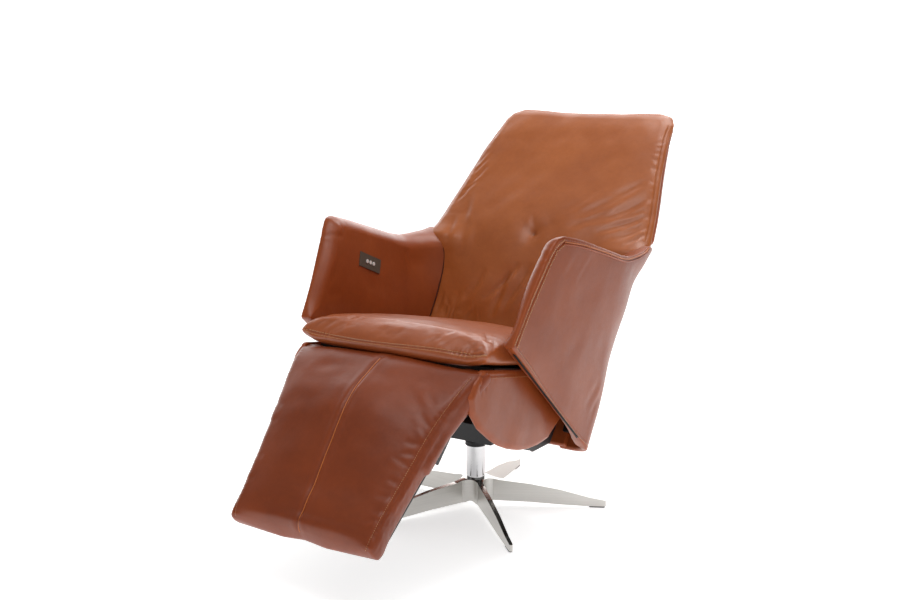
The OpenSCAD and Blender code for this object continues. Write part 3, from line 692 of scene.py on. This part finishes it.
# ---- Footrest ----

REST_HALF = curve((-452, 193), (-391, 202), (-250, 218), (-137, 232), (-79, 244), (-29, 251), (8, 256))
REST_EDGE = curve((-452, -26), (-391, -37), (-250, -37), (-137, -38), (-79, -37), (-29, -30), (8, -20),
                  (26, -12))
REST_MID = curve((-452, -6), (-431, -42), (-399, -52), (-327, -59), (-235, -73), (-148, -82), (-100, -78),
                 (-38, -60), (0, -46), (26, -30))


def rest_front(x, q):
    share = np.abs(x) / REST_HALF(q)
    return REST_MID(q) + (REST_EDGE(q) - 6 - REST_MID(q)) * share ** 2.3


def make_footrest():
    half = [(266, 26), (256, -29), (245, -79), (230, -137), (217, -250), (204, -385), (206, -428),
            (200, -448)]
    outline = [(-x, q) for x, q in half] + [(-60, -451), (0, -446), (60, -451)]
    outline += [(x, q) for x, q in half[::-1]] + [(0, 36)]
    pad = pillow("footrest_leather", outline, (6, 12, 18, 0), (150, 170),
                 lambda x, q: REST.world(x, rest_front(x, q), q), lambda x, q: REST.world(x, 12.0, q),
                 rims=(lambda x, q: 11 + 11 * smoothstep(q, -440, -400), 9), seam=0.5, blur=11)
    centre = [(0, 6), (0, -452)]
    folds = [((206, -96), (168, -66), 1.4, 9), ((224, -158), (176, -120), 1.5, 9),
             ((226, -176), (190, -150), 1.4, 6), ((220, -192), (172, -196), 1.1, 7),
             ((214, -214), (170, -226), 1.2, 7), ((210, -246), (160, -232), 1.2, 8),
             ((206, -290), (168, -284), 1.1, 7), ((204, -320), (158, -330), 1.3, 8),
             ((202, -350), (170, -368), 1.2, 7), ((196, -372), (150, -392), 1.1, 8),
             ((120, -60), (196, -130), 1.4, 16), ((-70, -30), (-170, -52), 1.0, 16),
             ((-228, -150), (-186, -172), 1.1, 8), ((-222, -210), (-180, -204), 1.0, 8),
             ((-212, -290), (-172, -300), 1.0, 8), ((-204, -360), (-168, -352), 1.0, 8)]

    def height(x, p, q, normal):
        ahead = smoothstep(-normal[1], 0.2, 0.7)
        gap, _ = along(centre, x, q)
        mid = -3 * hill(gap, 3) + 1.5 * hill(gap - 12, 9)
        border = [[(sx * (REST_HALF(v) - 8), v) for v in range(0, -451, -30)] for sx in (-1, 1)]
        edge = sum(sewn(line, x, q, 1.0, 2.2, 0.5, 12, 9, 40 + k) for k, line in enumerate(border))
        soft = ripple(x, q, 170, 41) * 1.6 + ripple(x, q, 62, 42) * 0.4
        wrinkles = sum(fold(x, q, *f) for f in folds)
        side = 1 - ahead
        flap = 7 * smoothstep(q, -238, -226) * smoothstep(p, -22, -2) * side * smoothstep(np.abs(x), 200, 215)
        creases = ripple(p * 2.0, q, 34, 43) * 0.5 * side * smoothstep(np.abs(x), 185, 200)
        return (mid + edge + soft + wrinkles) * ahead + flap + creases

    carve(pad, REST, height)
    refine(pad)
    tree = surface_of(pad)
    rows = []
    for sign in (-1, 1):
        path = smooth_path(REST, *[(sign * (REST_HALF(q) - 10), rest_front(REST_HALF(q) - 10, q), q)
                                   for q in range(-4, -445, -55)])
        rows += stitches(tree, path, pitch=5, length=3.4, radius=0.42)
    # a real cord along the centre seam, in the paler hide of the back: its paler colour is a painted
    # highlight on the seam's ridge
    path = smooth_path(REST, *[(2.2, REST_MID(q), q) for q in range(0, -447, -40)], steps=8)
    finish_piece(welt("footrest_centre_seam_painted_highlight", tree, path, 1.5, 0.5), "footrest", HIDE)
    finish_piece(add_mesh("footrest_stitching", *joined(rows)), "footrest", THREAD)
    finish_piece(pad, "footrest", HIDE_REST_PAINTED_SHADE, ["footrest_pad"])


# ---- Back ----

SKIN_X = curve((-200, 301.5), (-95, 309), (0, 316), (60, 323), (127, 333), (190, 345), (250, 358),
               (300, 360), (363, 346), (400, 338))
FACE_X = curve((-200, 281), (0, 281), (60, 284), (190, 303), (250, 312), (300, 316), (400, 316))
BACK_HALF = curve((20, 284), (90, 291), (200, 308), (270, 317), (320, 332), (348, 342), (372, 337),
                  (451, 324), (600, 295), (713, 274), (752, 268), (797, 262))
BACK_MID = curve((20, 8), (90, 4), (150, -14), (250, -26), (370, -31), (450, -19), (560, 10), (680, 40),
                 (750, 59), (797, 78))
BACK_EDGE = curve((20, 8), (90, 2), (146, 4), (207, 0), (261, -7), (310, -14), (366, -12), (451, 4),
                  (600, 30), (713, 55), (797, 84))
LOBE = curve((240, 0), (280, 8), (314, 20), (332, 22), (350, 15), (372, 6), (410, 0))
REAR_V = curve((-190, 82), (300, 82), (420, 86), (500, 90), (700, 111), (760, 118), (800, 120))
COVER_T = 24
TUFT_X, TUFT_U = 2, 364


def back_front(x, u):
    """The front of the padding, from its middle line to its edges, with a fuller lobe above each arm."""
    share = np.clip(np.abs(x) / BACK_HALF(u), 0, 1)
    lobe = LOBE(u) * smoothstep(np.abs(x), 170, 300)
    return BACK_MID(u) + (BACK_EDGE(u) - BACK_MID(u)) * share ** 2.4 - lobe


def back_rear(x, u):
    """The rear of the back's padding: thin beside the arms, full in the middle and up in the wings."""
    thin = smoothstep(np.abs(x), 190, 262) * (1 - smoothstep(u, 335, 385))
    return (rear_v(x, u) - COVER_T) * (1 - thin) + (back_front(x, u) + 20) * thin


def rear_v(x, u):
    """The rear skin, which comes forward at the sides to make the wings thin."""
    drop = (REAR_V(u) - BACK_EDGE(u) - 46) * smoothstep(u, 290, 372)
    return REAR_V(u) - drop * np.clip(np.abs(x) / BACK_HALF(u), 0, 1.04) ** 4.5


def make_back():
    side = [(280, 20), (282, 90), (288, 200), (299, 262), (332, 316), (343, 346), (339, 372), (326, 451),
            (297, 600), (279, 713), (273, 768), (257, 799), (222, 808)]
    outline = [(-280, 20), *side, (100, 801), (0, 800), (-100, 802), *[(-x, u) for x, u in side[:0:-1]]]
    back = pillow("back_leather", outline, (0, 1, 12, 18), (190, 250),
                  lambda x, u: SHELL.world(x, back_front(x, u), u),
                  lambda x, u: SHELL.world(x, back_rear(x, u), u), rims=(30, 8), seam=0.08, blur=14)
    folds = [((309, 521), (150, 404), 4.2, 13, 10), ((321, 464), (186, 382), 4.0, 10, 6),
             ((291, 581), (186, 503), 2.2, 13, 8), ((322, 428), (249, 365), 3.0, 8, 3),
             ((324, 448), (262, 392), 2.0, 6, 3), ((316, 492), (240, 436), 2.2, 8, 5),
             ((262, 556), (104, 424), 3.8, 16, 12), ((147, 530), (63, 434), 2.2, 16, 8),
             ((326, 404), (280, 352), 2.4, 6, 2), ((214, 470), (100, 388), 3.0, 12, 8),
             ((-12, 275), (-102, 158), 5.4, 10, 6), ((-39, 260), (-69, 113), 5.0, 10, 4),
             ((-114, 248), (-168, 152), 4.0, 12, 6), ((27, 278), (-39, 137), 4.4, 11, 5),
             ((70, 290), (40, 140), 2.0, 14, 4), ((-276, 404), (-258, 293), 2.4, 10, 5),
             ((-255, 476), (-234, 371), 2.4, 12, 5), ((-226, 400), (-214, 290), 1.8, 12, 5),
             ((-261, 641), (-282, 578), 1.8, 7, 0), ((-240, 584), (-273, 527), 2.2, 8, 3),
             ((-252, 610), (-280, 552), 1.6, 6, 2), ((-252, 530), (-288, 485), 2.0, 7, 3),
             ((-246, 556), (-282, 508), 1.4, 6, 2), ((-268, 500), (-298, 452), 1.6, 7, 2),
             ((-258, 716), (-279, 668), 1.2, 8, 0), ((-240, 176), (-249, 110), 2.2, 8, 2),
             ((-183, 179), (-195, 116), 2.0, 9, 2), ((-214, 160), (-222, 96), 1.6, 8, 2),
             ((-30, 352), (-84, 330), 0.7, 7, 2), ((1, 380), (-18, 424), 1.1, 8, 2),
             ((16, 376), (66, 404), 1.0, 12, 3), ((264, 610), (290, 606), 1.2, 6, 0),
             ((256, 640), (284, 636), 1.2, 6, 0), ((-170, 420), (-70, 520), 1.4, 24, 6),
             ((60, 580), (200, 640), 1.6, 28, 8), ((-190, 700), (-110, 640), 1.1, 20, 4)]

    def height(x, v, u, normal):
        ahead = smoothstep(-normal[1], 0.1, 0.6)
        out = np.hypot(x - TUFT_X, (u - TUFT_U) * 0.85)
        tuft = -6 * hill(out, 7) - 7 * hill(out, 22) - 4 * hill(out, 60)
        soft = ripple(x, u, 230, 51) * 1.7 + ripple(x, u, 84, 52) * 0.45
        wrinkles = sum(fold(x, u, s, e, d * 0.9, w, b) for s, e, d, w, b in folds)
        low = smoothstep(-u, -165, -110) * smoothstep(np.abs(x), 90, 130)
        gathers = np.sin(x / 6.4 + 2.4 * ripple(x, u, 60, 53)) * 0.8 * low
        rim, run = along([(s, u0) for s, u0 in side[4:]], np.abs(x), u)
        pleats = np.sin(run / 4.6 + 3 * ripple(run, rim, 90, 54)) * 0.35 * hill(rim - 16, 10)
        pleats = pleats * smoothstep(u, 380, 400) * (1 - smoothstep(u, 700, 760))
        edge = -1.8 * hill(rim - 9, 2.6) * smoothstep(u, 372, 392) * (1 - smoothstep(u, 735, 775))
        return (tuft + soft + wrinkles + gathers + pleats + edge) * ahead

    carve(back, SHELL, height)
    refine(back)
    finish_piece(back, "back_shell", HIDE, ["back_cushion"])


def make_rear_cover():
    side = [(224, -186), (222, 60), (217, 182), (216, 264), (220, 330), (236, 356), (304, 370), (334, 388),
            (325, 451), (296, 600), (275, 713), (267, 762), (249, 795), (205, 807)]
    outline = [(-224, -186), *side, (100, 802), (0, 801), (-100, 803), *[(-x, u) for x, u in side[:0:-1]]]
    cover = pillow("rear_cover_leather", outline, (0, 1, 13, 19), (120, 200),
                   lambda x, u: SHELL.world(x, rear_v(x, u) + 1, u),
                   lambda x, u: SHELL.world(x, rear_v(x, u) + (1 - COVER_T), u),
                   rims=(13, 6), seam=0.5, blur=10)
    yoke = [(-312, 470), (-150, 452), (0, 448), (150, 452), (312, 470)]

    def height(x, v, u, normal):
        behind = smoothstep(normal[1], 0.2, 0.7)
        middle = sewn([(0, 446), (0, -186)], x, u, 1.4, 2.4, 0.4, 14, 10, 61)
        line = sewn(yoke, x, u, 1.5, 2.4, 0.5, 14, 10, 62)
        soft = ripple(x, u, 210, 63) * 1.6 + ripple(x, u, 75, 64) * 0.4
        return (middle + line + soft) * behind

    carve(cover, SHELL, height)
    tree = surface_of(cover)
    rows = []
    for shift in (5, -5):
        path = smooth_path(SHELL, *[(x, rear_v(x, u), u + shift) for x, u in yoke])
        rows += stitches(tree, path, pitch=5, length=3.4, radius=0.42)
    finish_piece(add_mesh("rear_cover_stitching", *joined(rows)), "back_shell", THREAD)
    finish_piece(cover, "back_shell", HIDE_SIDE_PAINTED_SHADE, ["rear_cover"])


# ---- Arms ----

CORNER_REAR = 82
CORNER_IN = curve((-190, 70), (-139, 75), (37, 105), (109, 110), (182, 120), (264, 150), (320, 150),
                  (366, 120))
CORNER_LONG = curve((-190, 70), (-139, 78), (37, 144), (109, 184), (182, 221), (264, 245), (320, 160),
                    (366, 94))
ARM_TOP = [(20, 368), (-12, 362), (-51, 332), (-93, 305), (-137, 280), (-185, 263), (-286, 238), (-387, 212),
           (-456, 191)]
ARM_LOW = curve((-478, -97), (40, -190), (160, -191))
ARM_SEAM = curve((-190, -6), (88, -2), (146, 6), (207, 4), (261, -4), (290, -14), (314, -26), (345, -30),
                 (380, -30))
SEAM_X = curve((-190, 266), (60, 268), (120, 262), (180, 256), (240, 255), (290, 260), (330, 276),
               (370, 290))


def arm_outside(w, u, inset=0.0):
    """x and v of the outer skin at w: straight, then round an elliptical corner, then inwards."""
    deep, long = CORNER_IN(u), CORNER_LONG(u)
    start, turn = CORNER_REAR - long, math.pi / 2 * np.sqrt((deep ** 2 + long ** 2) / 2)
    angle = np.clip((w - start) / turn, 0, 1) * math.pi / 2
    past = np.maximum(w - start - turn, 0)
    return (SKIN_X(u) - deep + (deep - inset) * np.cos(angle) - past,
            np.where(w < start, w, start + (long - inset) * np.sin(angle)))


def make_arm(side, sign):
    def outer(w, u):
        x, v = arm_outside(w, u)
        belly = 9 * np.sin(math.pi * np.clip((w + 478) / 470, 0, 1)) * smoothstep(u - ARM_LOW(w), 0, 90)
        return SHELL.world(sign * (x + belly * (1 - smoothstep(u, 190, 300))), v, u)

    def inner(w, u):
        x, v = arm_outside(w, u, inset=13)
        bend = np.clip((w - ARM_SEAM(u)) / 150 + 1, 0, 1) ** 2.2
        face = FACE_X(u) - (FACE_X(u) - SEAM_X(u)) * bend
        thin = smoothstep(w, 22, 58)
        return SHELL.world(sign * (face + (x - face) * thin), np.minimum(w, 24) * (1 - thin) + v * thin, u)

    def inner_rim(w, u):
        return 7 + (25 + 12 * smoothstep(w, -220, -60)) * smoothstep(u - ARM_LOW(w), 4, 60)

    outline = [(-478, -97), (40, -190), (156, -190), (158, 372), *ARM_TOP, (-474, 176), (-479, 150)]
    arm = pillow(f"arm_{side}_leather", outline, (0, 2, 3, 12), (240, 170), outer, inner,
                 rims=(8, inner_rim), seam=0.9, blur=11)
    band = [(-468, -86), (-466, 60), (-464, 140), (-460, 160), (-448, 180), (-385, 203), (-286, 229),
            (-185, 254), (-137, 271), (-93, 296), (-55, 322), (-22, 350)]
    hem = [(v, ARM_LOW(v) + 13) for v in range(-460, 50, 50)]
    inner_folds = [((-470, 132), (-430, 150), 1.3, 8, 0), ((-440, 150), (-424, 186), 1.0, 9, 0),
                   ((-446, -20), (-430, 110), 1.0, 14, 0), ((-310, 60), (-180, 100), 1.0, 24, 4),
                   ((-120, 200), (-40, 230), 1.2, 20, 4), ((-440, -20), (-380, 10), 1.2, 14, 0)]
    outer_folds = [((-332, 120), (-318, 206), 0.5, 9, 0), ((-392, 110), (-380, 180), 0.4, 10, 0),
                   ((-90, 210), (-60, 280), 0.8, 18, 0), ((-60, -110), (-30, -20), 1.2, 14, 3),
                   ((-20, -120), (10, -30), 1.2, 12, 3), ((-250, -60), (-200, 60), 0.8, 26, 4)]

    def height(x, v, u, normal):
        out = smoothstep(normal[0] * sign, 0.25, 0.7)
        inward = smoothstep(-normal[0] * sign, 0.2, 0.7)
        line = sewn(band, v, u, 1.8, 2.2, 0.35, 12, 8, 71)
        lower = sewn(hem, v, u, 1.3, 2.0, 0.2, 14, 6, 72)
        soft = ripple(v, u, 240, 73) * 1.1 + ripple(v, u, 80, 74) * 0.25
        puckers = np.sin(u / 3.6 + 1.4 * ripple(v, u, 40, 75)) * 0.4
        puckers = puckers * smoothstep(-v, 458, 468) * hill(u - 140, 34)
        outside = line + lower + soft + sum(fold(v, u, s, e, d, w, b) for s, e, d, w, b in outer_folds)
        inside = soft + sum(fold(v, u, s, e, d, w, b) for s, e, d, w, b in inner_folds)
        return outside * out + inside * inward + puckers

    carve(arm, SHELL, height)
    refine(arm)
    tree = surface_of(arm)
    rows = []
    for shift in (6.5, -6.5):
        path = smooth_path(SHELL, *[(sign * SKIN_X(u), v, u) for v, u in band[:5]], steps=10)
        rows += stitches(tree, path, offset=shift, pitch=4.8, length=3.8, radius=0.85, lift=0.5)
    path = smooth_path(SHELL, *[(sign * SKIN_X(u), v, u - 4) for v, u in hem], steps=10)
    rows += stitches(tree, path, pitch=5, radius=0.5)
    finish_piece(add_mesh(f"arm_{side}_stitching", *joined(rows)), "back_shell", THREAD)
    path = smooth_path(SHELL, *[(sign * SKIN_X(u), v, u + 1) for v, u in band[4:]], steps=10)
    finish_piece(welt(f"arm_{side}_welt", tree, path, 2.0, 0.8), "back_shell", HIDE)
    path = smooth_path(SHELL, *[(sign * SKIN_X(u), v, u - 5.5) for v, u in band[4:]], steps=10)
    finish_piece(welt(f"arm_{side}_lower_welt", tree, path, 1.7, 0.6), "back_shell", HIDE_SIDE_PAINTED_SHADE)
    finish_piece(arm, "back_shell", HIDE_SIDE_PAINTED_SHADE, [f"arm_cover_{side}", f"arm_pad_{side}"])
    # a near-black cord along the groove where the arm meets the back: a painted shadow line
    path = smooth_path(SHELL, *[(sign * (SEAM_X(u) + 3), back_front(SEAM_X(u) + 3, u) - 1, u)
                                for u in range(60, 349, 24)], steps=5)
    finish_piece(welt(f"arm_{side}_back_seam_painted_shadow", tree, path, 1.8, 0.3), "back_shell", PAINTED_SEAM_SHADOW)
    make_zip(side, sign, tree)


def make_zip(side, sign, tree):
    """The zip along the lower edge of an outer cover: a tape and two rows of teeth."""
    path = even_steps(SHELL.world(sign * 298.0, [-450, -36], [-104, -181]), 3)
    points, normal = laid_on(tree, path, 0.4)
    tape = add_mesh(f"arm_{side}_zip_tape", *tube_parts(points, 4.2, 8, normal, flat=0.18))
    forward = directions(points)
    across = np.cross(normal, forward)
    sides = [(0, 1, 3, 2), (4, 6, 7, 5), (0, 4, 5, 1), (2, 3, 7, 6), (0, 2, 6, 4), (1, 5, 7, 3)]
    teeth = []
    for i, (point, up, ahead, aside) in enumerate(zip(points, normal, forward, across)):
        shift = (0.9 if i % 2 else -0.9) * MM
        base = point + aside * shift + up * 0.9 * MM
        corners = [base + aside * a * 1.5 * MM + ahead * b * 0.9 * MM + up * c * 0.7 * MM
                   for a in (-1, 1) for b in (-1, 1) for c in (-1, 1)]
        teeth.append((np.array(corners), sides))
    row = add_mesh(f"arm_{side}_zip_teeth", *joined(teeth), smooth=False)
    finish_piece(tape, "back_shell", BLACK_PLASTIC, [f"arm_zip_{side}"])
    finish_piece(row, "back_shell", BLACK_METAL)


# ---- Floor, light and camera ----

CAMERA_AT, CAMERA_YAW, CAMERA_PITCH = (1.6788, -2.6684, 1.1746), 33.42, 11.16
CAMERA_LENS, CAMERA_SENSOR = 49.78, 36
LAMPS_AT = Vector((0, -0.05, 0.55))
LAMPS = [("top", (0.1, -1.0, 2.6), 1.2, 14), ("rear", (0.3, 1.2, 2.6), 1.4, 27),
         ("front", (1.4, -0.9, 2.5), 1.2, 7)]
SKY_SUN, SKY_ANGLE = 0.3, 100
FLOOR_HALF = 12


def make_floor():
    """White paper that glows a little and grows darker towards the camera's right."""
    h = FLOOR_HALF
    floor = add_mesh("floor", [(-h, -h, 0), (h, -h, 0), (h, h, 0), (-h, h, 0)], [(0, 1, 2, 3)])
    s = Shader("floor", Roughness=0.8, Specular_IOR_Level=0.2, Emission_Color=(1, 1, 1, 1))
    right = s.add("ShaderNodeVectorMath", {0: s.where, 1: (0.972, 0.234, 0)}, operation="DOT_PRODUCT")
    across = right.outputs["Value"]
    s.into("Emission Strength", s.span(across, 0.66, 0.34, 1.0, 2.4))
    paper = s.ramp(s.noise(1.2, 2), (0.3, (0.83, 0.83, 0.83)), (0.7, (0.85, 0.85, 0.85)))
    s.into("Base Color", s.times(paper, s.span(across, 1.0, 0.8, 1.0, 2.4)))
    floor.data.materials.append(s.material)


def make_world():
    """A bright backdrop where the camera looks and a dim room behind it."""
    world = bpy.data.worlds.new("studio")
    bpy.context.scene.world = world
    world.use_nodes = True
    nodes, links = world.node_tree.nodes, world.node_tree.links
    where = nodes.new("ShaderNodeTexCoord").outputs["Generated"]

    def side_of(direction, low, high, dim, bright):
        dot = nodes.new("ShaderNodeVectorMath")
        dot.operation = "DOT_PRODUCT"
        dot.inputs[1].default_value = direction
        links.new(where, dot.inputs[0])
        ramp = nodes.new("ShaderNodeMapRange")
        ramp.interpolation_type = "SMOOTHSTEP"
        for socket, value in (("From Min", low), ("From Max", high), ("To Min", dim), ("To Max", bright)):
            ramp.inputs[socket].default_value = value
        links.new(dot.outputs["Value"], ramp.inputs["Value"])
        return ramp.outputs["Result"]

    def plus(one, other):
        total = nodes.new("ShaderNodeMath")
        links.new(one, total.inputs[0])
        links.new(other, total.inputs[1])
        return total.outputs["Value"]

    backdrop = side_of((-0.54, 0.84, 0), 0.42, 0.85, 0.18, 2.4)
    room = side_of((0.54, -0.84, 0), 0.0, 0.6, 0, 0.12)
    links.new(plus(backdrop, room), nodes["Background"].inputs["Strength"])
    nodes["Background"].inputs["Color"].default_value = (1, 1, 1, 1)
    bpy.context.scene.view_settings.view_transform = "Standard"


def aimed(name, data, at, direction):
    """A lamp or a camera at a place, turned to look along a direction."""
    obj = bpy.data.objects.new(name, data)
    obj.location = at
    obj.rotation_mode = "QUATERNION"
    obj.rotation_quaternion = direction.to_track_quat("-Z", "Y")
    bpy.context.scene.collection.objects.link(obj)
    return obj


def make_lamps():
    """Soft boxes aimed at the chair, and a wide weak sun for the sky."""
    for name, at, size, power in LAMPS:
        light = bpy.data.lights.new(name, "AREA")
        light.energy, light.size = power, size
        aimed(name, light, at, LAMPS_AT - Vector(at))
    sky = bpy.data.lights.new("sky", "SUN")
    sky.energy, sky.angle = SKY_SUN, math.radians(SKY_ANGLE)
    aimed("sky", sky, (0, 0.3, 1), -Vector((0, 0.3, 1)))


def make_camera():
    yaw, pitch = math.radians(CAMERA_YAW), math.radians(CAMERA_PITCH)
    back = Vector((math.sin(yaw) * math.cos(pitch), -math.cos(yaw) * math.cos(pitch), math.sin(pitch)))
    data = bpy.data.cameras.new("camera")
    data.lens, data.sensor_width = CAMERA_LENS, CAMERA_SENSOR
    bpy.context.scene.camera = aimed("camera", data, CAMERA_AT, -back)


make_camera()
make_floor()
make_world()
make_lamps()
make_seat_cushion()
make_footrest()
make_back()
make_rear_cover()
for side, sign in (("left", 1), ("right", -1)):
    make_side_panel(side, sign)
    make_arm(side, sign)
